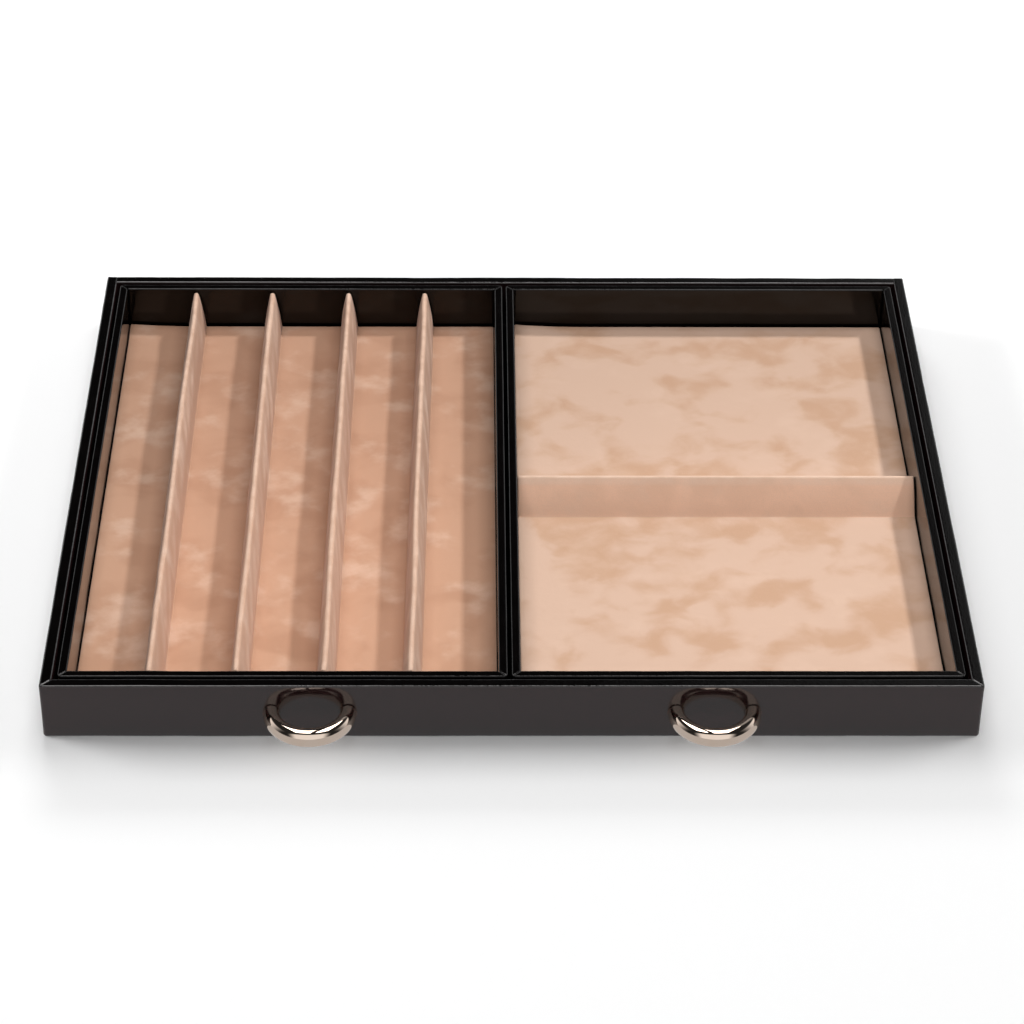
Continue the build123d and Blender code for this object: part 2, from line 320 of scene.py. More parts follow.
def leather_finish(name, gloss, roughness, upright):
    """Black leather: pebbled grain, strongest on the rims, under a thin gloss that varies a little. Upright
    faces get their own colour; on the drawer's walls it is lighter than the hide, a painted reflection of
    the pale floor.
    """
    settings = bpy.context.scene.drawer_leather
    finish, tree, shader = new_finish(name, {"IOR": 1.5})
    points = piece_points(tree)
    facing_up = facing(tree)["Z"]
    # The rim mask gives upward faces the black hide and upright faces the upright colour, which on the walls
    # is a painted reflection; it also sets where the grain is strongest.
    rim = ranged(tree, facing_up, 0.15, 0.75)
    worn = mottle(tree, points, 9 * MM, detail=4.0)
    rubbed = mixed(tree, ranged(tree, worn, 0.35, 0.8), settings.hide, scaled(settings.hide, 1.8))
    tree.links.new(mixed(tree, rim, upright, rubbed), shader.inputs["Base Color"])
    shine_share = ranged(tree, facing_up, 0.95, 0.995, 1.3 * gloss, 0.45 * gloss)
    tree.links.new(shine_share, shader.inputs["Specular IOR Level"])
    shine = mottle(tree, points, 2.5 * MM, detail=4.0)
    tree.links.new(ranged(tree, shine, 0.25, 0.75, roughness, roughness + 0.05), shader.inputs["Roughness"])
    swell = raised(tree, shader, mottle(tree, points, 14 * MM, detail=1.0), 0.10 * MM)
    grain_inputs = {"Vector": points, "Scale": 1 / settings.grain_size, "Smoothness": 0.6}
    pebbles = put(tree, "TexVoronoi", {"feature": "SMOOTH_F1"}, grain_inputs).outputs["Distance"]
    strength = calculated(tree, "ADD", times(tree, rim, 0.45), 0.05)
    grain = raised(tree, shader, pebbles, 0.10 * MM, strength, swell)
    raised(tree, shader, mottle(tree, points, 0.25 * MM, detail=3.0), 0.012 * MM, strength, grain)
    return finish


def suede_finish(name, nap, slope, patch, patch_share, patch_size, pale_share, back_shade):
    """Suede: brushed cloudy patches, paler nap along creases, a painted highlight along ridges, a painted
    warm bounce on slopes that face the front, painted shade towards the back, and a short soft pile.
    """
    settings = bpy.context.scene.drawer_suede
    sockets = {"Roughness": 0.95, "Specular IOR Level": 0.12, "Sheen Weight": 0.18, "Sheen Roughness": 0.45}
    finish, tree, shader = new_finish(name, sockets)
    points = piece_points(tree)
    stretch = {"Vector": points, "Rotation": (0.0, 0.0, -0.5), "Scale": (0.85, 1.0, 1.0)}
    strokes = put(tree, "Mapping", inputs=stretch).outputs[0]
    clouds = mottle(tree, strokes, patch_size, detail=5.0, roughness=0.42, distortion=0.35)
    wide = mottle(tree, strokes, 3.2 * patch_size, detail=2.0)
    both = calculated(tree, "ADD", clouds, times(tree, wide, 0.45))
    patches = times(tree, ranged(tree, both, 0.64, 0.90), patch_share)
    normal = facing(tree)
    # Painted bounce light: faces turned to the front take the slope colour, lighter and warmer than the nap.
    painted_bounce_share = ranged(tree, normal["Y"], -0.55, -0.15, 1.0, 0.0)
    patches = times(tree, patches, ranged(tree, normal["Z"], 0.72, 0.97, 0.15, 1.0))
    brushed = mixed(tree, patches, mixed(tree, painted_bounce_share, nap, slope), patch)
    light = ranged(tree, mottle(tree, strokes, 0.9 * patch_size, detail=4.0), 0.48, 0.76, 0.0, pale_share)
    brushed = mixed(tree, light, brushed, settings.pale_nap_and_highlight)
    # Painted shade: darker towards the back of the tray.
    away = ranged(tree, parts(tree, points)["Y"], -0.08, 0.10, 0.0, back_shade)
    brushed = mixed(tree, away, brushed, scaled(nap, 0.15))
    # From the crease attribute: paler nap along the creases and a painted highlight along the ridges.
    creases = put(tree, "Attribute", {"attribute_name": "crease"}).outputs["Fac"]
    streak = ranged(tree, mottle(tree, points, 5 * MM, detail=3.0), 0.3, 0.7, 0.55, 1.0)
    brushed = mixed(tree, times(tree, creases, streak), brushed, settings.pale_nap_and_highlight)
    fibre = mottle(tree, points, 0.35 * MM, detail=2.0)
    brushed = mixed(tree, ranged(tree, fibre, 0.35, 0.75, 0.0, 0.22), brushed, scaled(nap, 0.90))
    tree.links.new(brushed, shader.inputs["Base Color"])
    pile = raised(tree, shader, fibre, 0.06 * MM, 0.5)
    raised(tree, shader, mottle(tree, points, 2.4 * MM, detail=2.0), 0.10 * MM, 0.5, pile)
    return finish


def nickel_finish():
    """Polished nickel with faint rubbing marks."""
    settings = bpy.context.scene.drawer_pulls
    finish, tree, shader = new_finish("polished_nickel", {"Metallic": 1.0})
    points = piece_points(tree)
    warm = tuple(value * tint for value, tint in zip(settings.metal, (0.97, 0.93, 0.88)))
    metal = mixed(tree, mottle(tree, points, 4 * MM), settings.metal, warm)
    tree.links.new(metal, shader.inputs["Base Color"])
    rubbed = ranged(tree, mottle(tree, points, 0.8 * MM, detail=5.0), 0.45, 0.9, 0.02, 0.08)
    tree.links.new(rubbed, shader.inputs["Roughness"])
    raised(tree, shader, mottle(tree, points, 2.5 * MM, detail=2.0), 0.006 * MM)
    return finish


def steel_finish():
    """Plain screw steel, turned and a little dull."""
    finish, tree, shader = new_finish("screw_steel_finish", {"Metallic": 1.0})
    points = piece_points(tree)
    dull = mottle(tree, points, 0.6 * MM, detail=4.0)
    steel = mixed(tree, dull, screen_colour(150, 148, 145), screen_colour(186, 185, 182))
    tree.links.new(steel, shader.inputs["Base Color"])
    tree.links.new(ranged(tree, dull, 0.2, 0.8, 0.25, 0.45), shader.inputs["Roughness"])
    raised(tree, shader, dull, 0.01 * MM)
    return finish


def fibre_finish(name, pale, dark, fibre_size):
    """Pressed board or card: short fibres and specks in two browns."""
    finish, tree, shader = new_finish(name, {"Roughness": 0.85, "Specular IOR Level": 0.2})
    points = piece_points(tree)
    stretched = put(tree, "Mapping", inputs={"Vector": points, "Scale": (1.0, 0.35, 1.0)}).outputs[0]
    fibres = mottle(tree, stretched, fibre_size, detail=6.0, roughness=0.7)
    brown = mixed(tree, ranged(tree, fibres, 0.3, 0.75), screen_colour(*pale), screen_colour(*dark))
    tree.links.new(brown, shader.inputs["Base Color"])
    raised(tree, shader, fibres, 0.05 * MM, 0.6)
    return finish


def lining_finish():
    """Black cloth lining: a fine plain weave."""
    sockets = {"Roughness": 0.9, "Specular IOR Level": 0.2, "Sheen Weight": 0.15}
    finish, tree, shader = new_finish("black_cloth", sockets)
    points = piece_points(tree)
    threads = []
    for direction in ("X", "Y"):
        inputs = {"Vector": points, "Scale": 400.0, "Distortion": 0.8, "Detail": 1.0}
        threads.append(put(tree, "TexWave", {"bands_direction": direction}, inputs).outputs["Fac"])
    weave = times(tree, threads[0], threads[1])
    black = mixed(tree, weave, screen_colour(12, 12, 13), screen_colour(30, 30, 32))
    tree.links.new(black, shader.inputs["Base Color"])
    raised(tree, shader, weave, 0.05 * MM, 0.6)
    return finish


# Meshes

# Steps of a cover's outline: over its flat top, up its sides, round its hem and ends, and over each edge
RIM_STEPS, SIDE_STEPS, HEM_STEPS, EDGE_STEPS = 4, 6, 4, 8


def make_piece(name, points, faces, finish, slot, body, replaced, sharp=55):
    """Link a mesh as one piece of the object, in place of the plain pieces that it stands for."""
    mesh = bpy.data.meshes.new(name)
    mesh.from_pydata(points, [], faces)
    mesh.validate()
    shape = bmesh.new()
    shape.from_mesh(mesh)
    bmesh.ops.recalc_face_normals(shape, faces=shape.faces)
    shape.to_mesh(mesh)
    shape.free()
    mesh.shade_smooth()
    mesh.set_sharp_from_angle(angle=math.radians(sharp))
    mesh.materials.append(finish)
    piece = bpy.data.objects.new(name, mesh)
    bpy.context.scene.collection.objects.link(piece)
    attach(piece, body)
    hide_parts(*replaced)
    return piece


def arc_line(centre, radius, start, end, steps):
    """Points of an arc in degrees, each with the direction straight out of it."""
    line = []
    for step in range(steps + 1):
        turn = math.radians(start + (end - start) * step / steps)
        out = (math.cos(turn), math.sin(turn))
        line.append((centre[0] + radius * out[0], centre[1] + radius * out[1], *out))
    return line


def quarter_turn(steps):
    """The cosine and sine at each step of a quarter turn, with both its ends."""
    turns = [math.radians(90 * step / steps) for step in range(steps + 1)]
    return [(math.cos(turn), math.sin(turn)) for turn in turns]


def straight_line(start, end, out, steps):
    """Points between two ends, the ends left out, all with one outward direction."""
    line = []
    for step in range(1, steps):
        part = step / steps
        line.append((start[0] + (end[0] - start[0]) * part, start[1] + (end[1] - start[1]) * part, *out))
    return line


def cover_outline(thickness, bottom, top, inside_foot, edge, hem):
    """The leather's outline over a wall: inward, up and outward direction. A hem of 0 isn't turned under."""
    line = []
    if hem > 0:
        line.append((thickness, bottom, 0.0, -1.0))
        line += straight_line((thickness, bottom), (hem, bottom), (0.0, -1.0), RIM_STEPS)
        line += arc_line((hem, bottom + hem), hem, 270, 180, HEM_STEPS)
    else:
        line.append((0.0, bottom, -1.0, 0.0))
    line += straight_line((0.0, bottom + hem), (0.0, top - edge), (-1.0, 0.0), SIDE_STEPS)
    line += arc_line((edge, top - edge), edge, 180, 90, EDGE_STEPS)
    line += straight_line((edge, top), (thickness - edge, top), (0.0, 1.0), RIM_STEPS)
    line += arc_line((thickness - edge, top - edge), edge, 90, 0, EDGE_STEPS)
    line += straight_line((thickness, top - edge), (thickness, inside_foot), (1.0, 0.0), SIDE_STEPS)
    line.append((thickness, inside_foot, 1.0, 0.0))
    return line


def side_axes(side, x_span, y_span):
    """A side's starting corner, its direction along, its direction inward and its length."""
    width = x_span[1] - x_span[0]
    depth = y_span[1] - y_span[0]
    return {
        "front": (Vector((x_span[0], y_span[0], 0)), Vector((1, 0, 0)), Vector((0, 1, 0)), width),
        "right": (Vector((x_span[1], y_span[0], 0)), Vector((0, 1, 0)), Vector((-1, 0, 0)), depth),
        "back": (Vector((x_span[1], y_span[1], 0)), Vector((-1, 0, 0)), Vector((0, -1, 0)), width),
        "left": (Vector((x_span[0], y_span[1], 0)), Vector((0, -1, 0)), Vector((1, 0, 0)), depth),
    }[side]


# Distances from the end of a side at which its mesh has closer rings, for the crease where two sides meet
END_RINGS = [distance * MM for distance in (0, 0.1, 0.22, 0.36, 0.52, 0.7, 0.95, 1.3, 1.9, 2.8, 4.2)]
RING_SPACING = 4 * MM


def end_place(end, inward, distance, corner):
    """Where a line of the outline lies near the end of a side: along, inward, and its turn there."""
    if end == "capped":
        return leather_thickness + distance, inward, 0.0
    if end == "square":
        return distance, inward, 0.0
    bend = corner - inward
    if bend <= 0:
        return inward + distance, inward, 0.0
    bent = bend * math.pi / 4
    if distance >= bent:
        return corner + distance - bent, inward, 0.0
    turn = math.pi / 4 - distance / bend
    return corner - bend * math.sin(turn), corner - bend * math.cos(turn), turn


def side_rings(inward, side_length, ends, corner):
    """Every place along a side for one line of its outline, with how deep in a crease it lies."""
    settings = bpy.context.scene.drawer_leather

    def dip(end, distance):
        near = max(0.0, 1 - distance / settings.crease_width)
        return settings.crease_depth * near * near if end == "mitred" else 0.0

    first = [(*end_place(ends[0], inward, ring, corner), dip(ends[0], ring)) for ring in END_RINGS]
    last = [(*end_place(ends[1], inward, ring, corner), dip(ends[1], ring)) for ring in END_RINGS]
    start, stop = first[-1][0], side_length - last[-1][0]
    steps = round((side_length - 2 * END_RINGS[-1]) / RING_SPACING)
    middle = [(start + (stop - start) * step / steps, inward, 0.0, 0.0) for step in range(1, steps)]
    last = [(side_length - along, in_place, -turn, depth) for along, in_place, turn, depth in reversed(last)]
    return first + middle + last


def ripple(point):
    """Slow swelling of pulled leather, in shares of the waviness."""
    return noise.noise(point * 55.0) + 0.5 * noise.noise(point * 170.0 + Vector((7.0, 3.0, 5.0)))


def grid_faces(rows, columns, first=0):
    """Four-sided faces over a grid of points stored row by row."""
    faces = []
    for row in range(rows - 1):
        for column in range(columns - 1):
            corner = first + row * columns + column
            faces.append((corner, corner + 1, corner + columns + 1, corner + columns))
    return faces


def ring_faces(rings, count):
    """Faces round a stack of closed rings of points, with one flat face over each end."""
    faces = []
    for ring in range(rings - 1):
        for step in range(count):
            here, following = ring * count + step, ring * count + (step + 1) % count
            faces.append((here, following, following + count, here + count))
    faces.append(tuple(range(count)))
    faces.append(tuple((rings - 1) * count + step for step in range(count)))
    return faces


def cover_mesh(side, outline, x_span, y_span, ends, corner):
    """Leather over one side as a closed skin with its real thickness."""
    settings = bpy.context.scene.drawer_leather
    origin, along, inward, side_length = side_axes(side, x_span, y_span)
    layers = []
    for depth in (0.0, leather_thickness):
        for line in outline:
            in_line, up_line = line[0] - line[2] * depth, line[1] - line[3] * depth
            for place, in_place, turn, dip in side_rings(in_line, side_length, ends, corner):
                out = (along * math.sin(turn) + inward * math.cos(turn)) * line[2]
                out.z = line[3]
                point = origin + along * place + inward * in_place
                point.z = up_line
                layers.append(point + out * (settings.waviness * ripple(point) - dip))
    rows = len(outline)
    columns = len(layers) // (2 * rows)
    inner = rows * columns
    faces = grid_faces(rows, columns) + grid_faces(rows, columns, inner)
    rim = [(row * columns + column, 1) for row in (0, rows - 1) for column in range(columns - 1)]
    rim += [(row * columns + column, columns) for row in range(rows - 1) for column in (0, columns - 1)]
    faces += [(start, start + step, inner + start + step, inner + start) for start, step in rim]
    return layers, faces


def end_cap_mesh(side, outline, x_span, y_span, at_start):
    """The leather folded over the end of a side wall: a thin slab with soft edges."""
    origin, along, inward, side_length = side_axes(side, x_span, y_span)
    if not at_start:
        origin, along = origin + along * side_length, -along
    points = []
    for cosine, sine in quarter_turn(HEM_STEPS):
        place, inset = leather_thickness * (1 - sine), leather_thickness * (1 - cosine)
        for line in outline:
            point = origin + along * place + inward * (line[0] - line[2] * inset)
            point.z = line[1] - line[3] * inset
            points.append(point)
    return points, ring_faces(HEM_STEPS + 1, len(outline))


def joined(*meshes):
    """Several point and face lists as one."""
    points, faces = [], []
    for more_points, more_faces in meshes:
        first = len(points)
        points += more_points
        faces += [tuple(first + corner for corner in face) for face in more_faces]
    return points, faces


class DRAWER_OT_cover_walls(bpy.types.Operator):
    """Cover the drawer's walls in black leather, mitred in front and folded over the side walls' ends"""

    bl_idname = "drawer.cover_walls"
    bl_label = "Cover the walls"

    def execute(self, context):
        settings = context.scene.drawer_leather
        # The walls' upright colour holds a painted reflection of the floor.
        finish = leather_finish("glossy_black_leather", 0.58, 0.07, settings.upright_hide_and_reflection)
        outline = cover_outline(
            wall_thickness, drawer_z[0], drawer_z[1], wall_inside_foot, settings.wall_edge, settings.hem
        )
        back_x = (drawer_x[0] + wall_thickness, drawer_x[1] - wall_thickness)
        walls = {
            "front": (drawer_x, ("mitred", "mitred")),
            "right": (drawer_x, ("mitred", "capped")),
            "back": (back_x, ("square", "square")),
            "left": (drawer_x, ("capped", "mitred")),
        }
        for side, (x_span, ends) in walls.items():
            mesh = cover_mesh(side, outline, x_span, drawer_y, ends, settings.wall_corner)
            if "capped" in ends:
                cap = end_cap_mesh(side, outline, x_span, drawer_y, at_start=ends[0] == "capped")
                mesh = joined(mesh, cap)
            make_piece(f"{side}_wall_cover", *mesh, finish, "black_leather", "drawer", [f"{side}_leather"])
        return {"FINISHED"}


class DRAWER_OT_cover_frames(bpy.types.Operator):
    """Cover the frames of both lift-out trays in black leather, mitred at every corner"""

    bl_idname = "drawer.cover_frames"
    bl_label = "Cover the tray frames"

    def execute(self, context):
        settings = context.scene.drawer_leather
        finish = leather_finish("soft_black_leather", 0.25, 0.08, settings.hide)
        for tray in ("left_tray", "right_tray"):
            x_span = span(f"{tray}_left_leather", f"{tray}_right_leather", X)
            y_span = span(f"{tray}_front_leather", f"{tray}_back_leather", Y)
            low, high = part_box(f"{tray}_left_leather")
            inside_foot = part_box(f"{tray}_card")[1].z
            outline = cover_outline(high.x - low.x, low.z, high.z, inside_foot, settings.frame_edge, 0.0)
            for side in ("front", "right", "back", "left"):
                mesh = cover_mesh(side, outline, x_span, y_span, ("mitred", "mitred"), settings.frame_corner)
                name, node = f"{tray}_{side}_cover", f"{tray}_{side}_leather"
                make_piece(name, *mesh, finish, "black_leather", tray, [node])
        return {"FINISHED"}


# Suede floors

# Steps round a fold's foot, up its flank and over half its tip, and round a floor's rims and ends
FOOT_STEPS, FLANK_STEPS, TIP_STEPS = 4, 15, 5
RIM_LINES, END_LINES = 5, 4

# Spacing of the lines that cross a floor, and the number of lines on each flat stretch of either floor
LINE_SPACING = 1.7 * MM
PLEATED_LINES, DIVIDED_LINES = 11, 30

# The stretch at each end of a floor that has no creases or ripples, how far a ridge's painted highlight
# reaches as a share of half the fold's base, and how far a corner's curl reaches across and along
CALM_END = 5 * MM
RIDGE_SHARE = 0.46
CURL_ACROSS, CURL_ALONG = 26 * MM, 14 * MM


def fold_outline(half_base, height, drop):
    """A fold's outline from foot to foot: across, up, its outward direction, and its height as a share."""
    settings = bpy.context.scene.drawer_suede
    foot, tip = settings.fold_foot, settings.fold_tip
    shoulder = height - drop
    steepness = math.atan2(shoulder, half_base - tip) + settings.fold_swell
    rise = foot * math.tan(steepness / 2)
    foot_radius = rise / (1 - math.cos(steepness))
    steep_end = 90 - math.degrees(steepness)
    right = arc_line((half_base + foot, foot_radius), -foot_radius, 90, steep_end, FOOT_STEPS)
    reach, lift = half_base - tip, shoulder - rise
    swing = 2 * (steepness - math.atan2(lift, reach))
    radius = math.hypot(reach, lift) / (2 * math.sin(swing / 2))
    centre = (half_base - radius * math.sin(steepness), rise - radius * math.cos(steepness))
    right += arc_line(centre, radius, steep_end, steep_end + math.degrees(swing), FLANK_STEPS)[1:-1]
    tip_radius = (tip * tip + drop * drop) / (2 * drop)
    opening = math.degrees(math.asin(tip / tip_radius))
    right += arc_line((0.0, height - tip_radius), tip_radius, 90 - opening, 90, TIP_STEPS)[:-1]
    line = [(-across, up, -out_across, out_up) for across, up, out_across, out_up in right]
    line.append((0.0, height, 0.0, 1.0))
    line += reversed(right)
    return [(*point, point[1] / height) for point in line]


class Folds:
    """The upright folds of one suede floor: where they run, how they sway and where they crease.

    Along its run, from the first end to the last, a fold moves from its middle minus its lean to its middle
    plus its lean.
    """

    def __init__(self, middles, leans, half_base, height, tip_drop, run, seed, sway=0.0, crease_height=0.0):
        self.middles = middles
        self.leans = leans
        self.half_base = half_base
        self.height = height
        self.tip_drop = tip_drop
        self.run = run
        self.sway = sway
        self.crease_height = crease_height
        self.creases = self.draw_creases(random.Random(seed))

    def draw_creases(self, dice):
        """Soft slanting creases: each leaves the ridge and nears the foot further to the front."""
        creases = {}
        for fold in range(len(self.middles)):
            for flank in (-1, 1):
                place = self.run[0] - 20 * MM
                lines = []
                while place < self.run[1] + 45 * MM and self.crease_height > 0:
                    place += dice.uniform(12, 24) * MM
                    slant = dice.uniform(1.1, 2.4)
                    width = dice.uniform(3.4, 7.0) * MM
                    depth = dice.uniform(0.35, 1.0)
                    low = dice.uniform(-0.1, 0.45)
                    high = dice.uniform(0.75, 1.1)
                    lines.append((place, slant, width, depth, low, high))
                creases[fold, flank] = lines
        return creases

    def middle(self, fold, place):
        """Where a fold's ridge stands across the floor at a place along it."""
        part = 2 * (place - self.run[0]) / (self.run[1] - self.run[0]) - 1
        sway = noise.noise(Vector((place * 22.0, fold * 7.3, 0.5)))
        return self.middles[fold] + self.leans[fold] * part + 0.4 * self.sway * sway

    def bend(self, fold, place, share_up):
        """How far a fold leans over at a height, slowly changing along it."""
        sway = noise.noise(Vector((place * 16.0, fold * 5.1, 9.0)))
        return self.sway * sway * share_up * share_up

    def crease(self, fold, flank, place, share_up):
        """How much a crease lifts the suede at a point on a flank, as a share."""
        lift = 0.0
        for ridge_place, slant, width, depth, low, high in self.creases[fold, flank]:
            line = ridge_place - slant * (1 - share_up) * self.height
            away = (place - line) / width
            if abs(away) > 3 or not low < share_up < high + 0.1:
                continue
            window = min(1.0, (share_up - low) / 0.25, (high + 0.1 - share_up) / 0.2)
            shape = math.exp(-away * away) if away < 0 else math.exp(-0.45 * away * away)
            lift = max(lift, depth * window * shape)
        return lift


def floor_columns(folds):
    """Every line that runs along a suede floor, and how far a fold's foot reaches from its ridge.

    A line lies on the left or right rim, on a share of a flat stretch, or on a fold.
    """
    outline = fold_outline(folds.half_base, folds.height, folds.tip_drop)
    reach = outline[-1][0]
    flat_steps = PLEATED_LINES if len(folds.middles) > 1 else DIVIDED_LINES
    rim = quarter_turn(RIM_LINES)[:-1]
    columns = [("rim", -1, out) for out in rim]
    for stretch in range(len(folds.middles) + 1):
        columns += [("flat", stretch, (step + 0.5) / flat_steps) for step in range(flat_steps)]
        if stretch < len(folds.middles):
            columns += [("fold", stretch, line) for line in outline]
    columns += [("rim", 1, out) for out in reversed(rim)]
    return columns, reach


def floor_rows(folds, edge):
    """Every line that crosses a suede floor: its place, and how far down its end's rim it lies."""
    ends = [(edge * (1 - cosine), 1 - sine) for cosine, sine in quarter_turn(END_LINES)]
    first, last = folds.run
    inside = last - first - 2 * edge
    steps = round(inside / LINE_SPACING)
    rows = [(first + place, sink) for place, sink in ends]
    rows += [(first + edge + inside * step / steps, 0.0) for step in range(1, steps)]
    rows += [(last - place, sink) for place, sink in reversed(ends)]
    return rows


def fold_point(folds, fold, line, place, middle, calm, drop):
    """A point on a fold: across, up, and how pale it is painted: paler nap along creases and a painted
    highlight along the ridge.
    """
    off, up, out_across, out_up, share_up = line
    flank = 1 if off > 0 else -1
    lift = folds.crease(fold, flank, place, share_up)
    steep = abs(out_across) * min(1.0, share_up * 4)
    push = folds.crease_height * lift * steep * calm - drop
    across = middle + off + folds.bend(fold, place, share_up) * calm + out_across * push
    # Painted highlight: the ridge is painted paler where light catches the tip.
    ridge = max(0.0, 1 - abs(off) / (RIDGE_SHARE * folds.half_base)) if share_up > 0.8 else 0.0
    return across, up + out_up * push, max(0.75 * lift * steep, 0.85 * ridge)


def floor_line(folds, columns, reach, across_span, edge, place, sink):
    """One line across a suede floor: across, up and paleness of each of its points."""
    first, last = folds.run
    low, high = across_span
    middles = [folds.middle(fold, place) for fold in range(len(folds.middles))]
    starts = [low + edge, *(middle + reach for middle in middles)]
    stops = [*(middle - reach for middle in middles), high - edge]
    calm = min(1.0, (place - first) / CALM_END, (last - place) / CALM_END)
    drop = edge * sink
    line = []
    for kind, index, detail in columns:
        if kind == "flat":
            across = starts[index] + (stops[index] - starts[index]) * detail
            ripple_up = 0.05 * MM * calm * noise.noise(Vector((across * 45, place * 45, 2.0)))
            line.append((across, ripple_up - drop, 0.0))
        elif kind == "fold":
            line.append(fold_point(folds, index, detail, place, middles[index], calm, drop))
        else:
            out_across, out_up = detail
            rim = low if index < 0 else high
            across = rim - index * edge * (1 - out_across) - index * drop * out_across
            line.append((across, -edge * (1 - out_up) - drop * out_up, 0.0))
    return line


def suede_mesh(folds, across_span, edge, place_point):
    """One suede floor as a sheet with turned-down edges: points, how pale each is, and points in a row."""
    columns, reach = floor_columns(folds)
    foot = suede_foot - suede_level
    rows = []
    for place, sink in floor_rows(folds, edge):
        line = floor_line(folds, columns, reach, across_span, edge, place, sink)
        rows.append((place, [(line[0][0], foot, 0.0), *line, (line[-1][0], foot, 0.0)]))

    def turned_down(place, line):
        return place, [(across, foot, shade) for across, up, shade in line]

    points, shades = [], []
    for place, line in (turned_down(*rows[0]), *rows, turned_down(*rows[-1])):
        for across, up, shade in line:
            points.append(place_point(across, place, up))
            shades.append(shade)
    return points, shades, len(columns) + 2


def cut_size(points, width):
    """The flat size that the suede was cut to, measured over the middle row and one flat column."""
    flat_column = RIM_LINES + 3
    rows = len(points) // width
    middle = [points[(rows // 2) * width + column] for column in range(width)]
    along = [points[row * width + flat_column] for row in range(rows)]
    return tuple(
        sum((second - first).length for first, second in zip(line, line[1:])) for line in (middle, along)
    )


def curl(across_x, along_y, up, low, high):
    """How far a floor's back left corner curls up at a point of its top."""
    settings = bpy.context.scene.drawer_suede
    from_left = max(0.0, 1 - (across_x - low.x) / CURL_ACROSS)
    from_back = max(0.0, 1 - (high.y - along_y) / CURL_ALONG)
    return settings.corner_lift * from_left * from_left * from_back if up > -settings.pad_edge else 0.0


def lay_suede(name, side, folds, across_span, finish, folds_run_across=False):
    edge = bpy.context.scene.drawer_suede.pad_edge
    low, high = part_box(f"{side}_suede")

    def place_point(across, along, up):
        if folds_run_across:
            across, along = along, across
        return Vector((across, along, suede_level + up + curl(across, along, up, low, high)))

    points, shades, width = suede_mesh(folds, across_span, edge, place_point)
    faces = grid_faces(len(points) // width, width)
    node = f"{side}_suede"
    piece = make_piece(name, points, faces, finish, node, f"{side}_tray", [node], sharp=70)
    # The crease attribute holds how pale each point is painted: paler nap along creases and a painted
    # highlight along the ridge.
    values = piece.data.attributes.new("crease", "FLOAT", "POINT")
    values.data.foreach_set("value", shades)
    if piece.data.polygons[len(piece.data.polygons) // 2].normal.z < 0:
        piece.data.flip_normals()
    thicken = piece.modifiers.new("Suede thickness", "SOLIDIFY")
    thicken.thickness = suede_thickness
    thicken.offset = -1
    cut_size(points, width)
    return piece


class DRAWER_OT_lay_pleated_suede(bpy.types.Operator):
    """Lay the left tray's suede floor, pleated up over four stiff cores"""

    bl_idname = "drawer.lay_pleated_suede"
    bl_label = "Lay the pleated suede"

    def execute(self, context):
        settings = context.scene.drawer_suede
        low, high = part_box("left_suede")
        # The first core stands straight, so its box is as wide as a core's foot. The others lean.
        boxes = [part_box(core) for core in PLEAT_CORES]
        core_base = boxes[0][1].x - boxes[0][0].x
        middles = [(core_low.x + core_high.x) / 2 for core_low, core_high in boxes]
        leans = [(core_high.x - core_low.x - core_base) / 2 for core_low, core_high in boxes]
        folds = Folds(
            middles,
            leans,
            half_base=core_base / 2 + suede_thickness,
            height=high.z - suede_level,
            tip_drop=settings.pleat_tip_drop,
            run=(low.y, high.y),
            seed=4,
            sway=settings.ridge_sway,
            crease_height=settings.crease_height,
        )
        nap, patch, back_shade = settings.left_nap, settings.left_patch, settings.left_back_shade
        finish = suede_finish("pleated_suede_finish", nap, nap, patch, 0.8, 15 * MM, 0.6, back_shade)
        across_span = (low.x - settings.left_spread, high.x + settings.left_spread)
        lay_suede("pleated_suede", "left", folds, across_span, finish)
        return {"FINISHED"}


class DRAWER_OT_lay_divided_suede(bpy.types.Operator):
    """Lay the right tray's suede floor, folded up once over the divider's core"""

    bl_idname = "drawer.lay_divided_suede"
    bl_label = "Lay the divided suede"

    def execute(self, context):
        settings = context.scene.drawer_suede
        low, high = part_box("right_suede")
        core_low, core_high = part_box("divider_core")
        folds = Folds(
            [(core_low.y + core_high.y) / 2],
            [0.0],
            half_base=(core_high.y - core_low.y) / 2 + 1.3 * suede_thickness,
            height=high.z - suede_level,
            tip_drop=settings.divider_tip_drop,
            run=(low.x - settings.right_spread, high.x + settings.right_spread),
            seed=7,
        )
        nap, patch, back_shade = settings.right_nap, settings.right_patch, settings.right_back_shade
        # On the divided floor the slope colour is a painted warm bounce on the divider's front.
        slope = settings.slope_painted_bounce
        finish = suede_finish("divided_suede_finish", nap, slope, patch, 0.95, 13 * MM, 0.3, back_shade)
        lay_suede("divided_suede", "right", folds, (low.y, high.y), finish, folds_run_across=True)
        return {"FINISHED"}


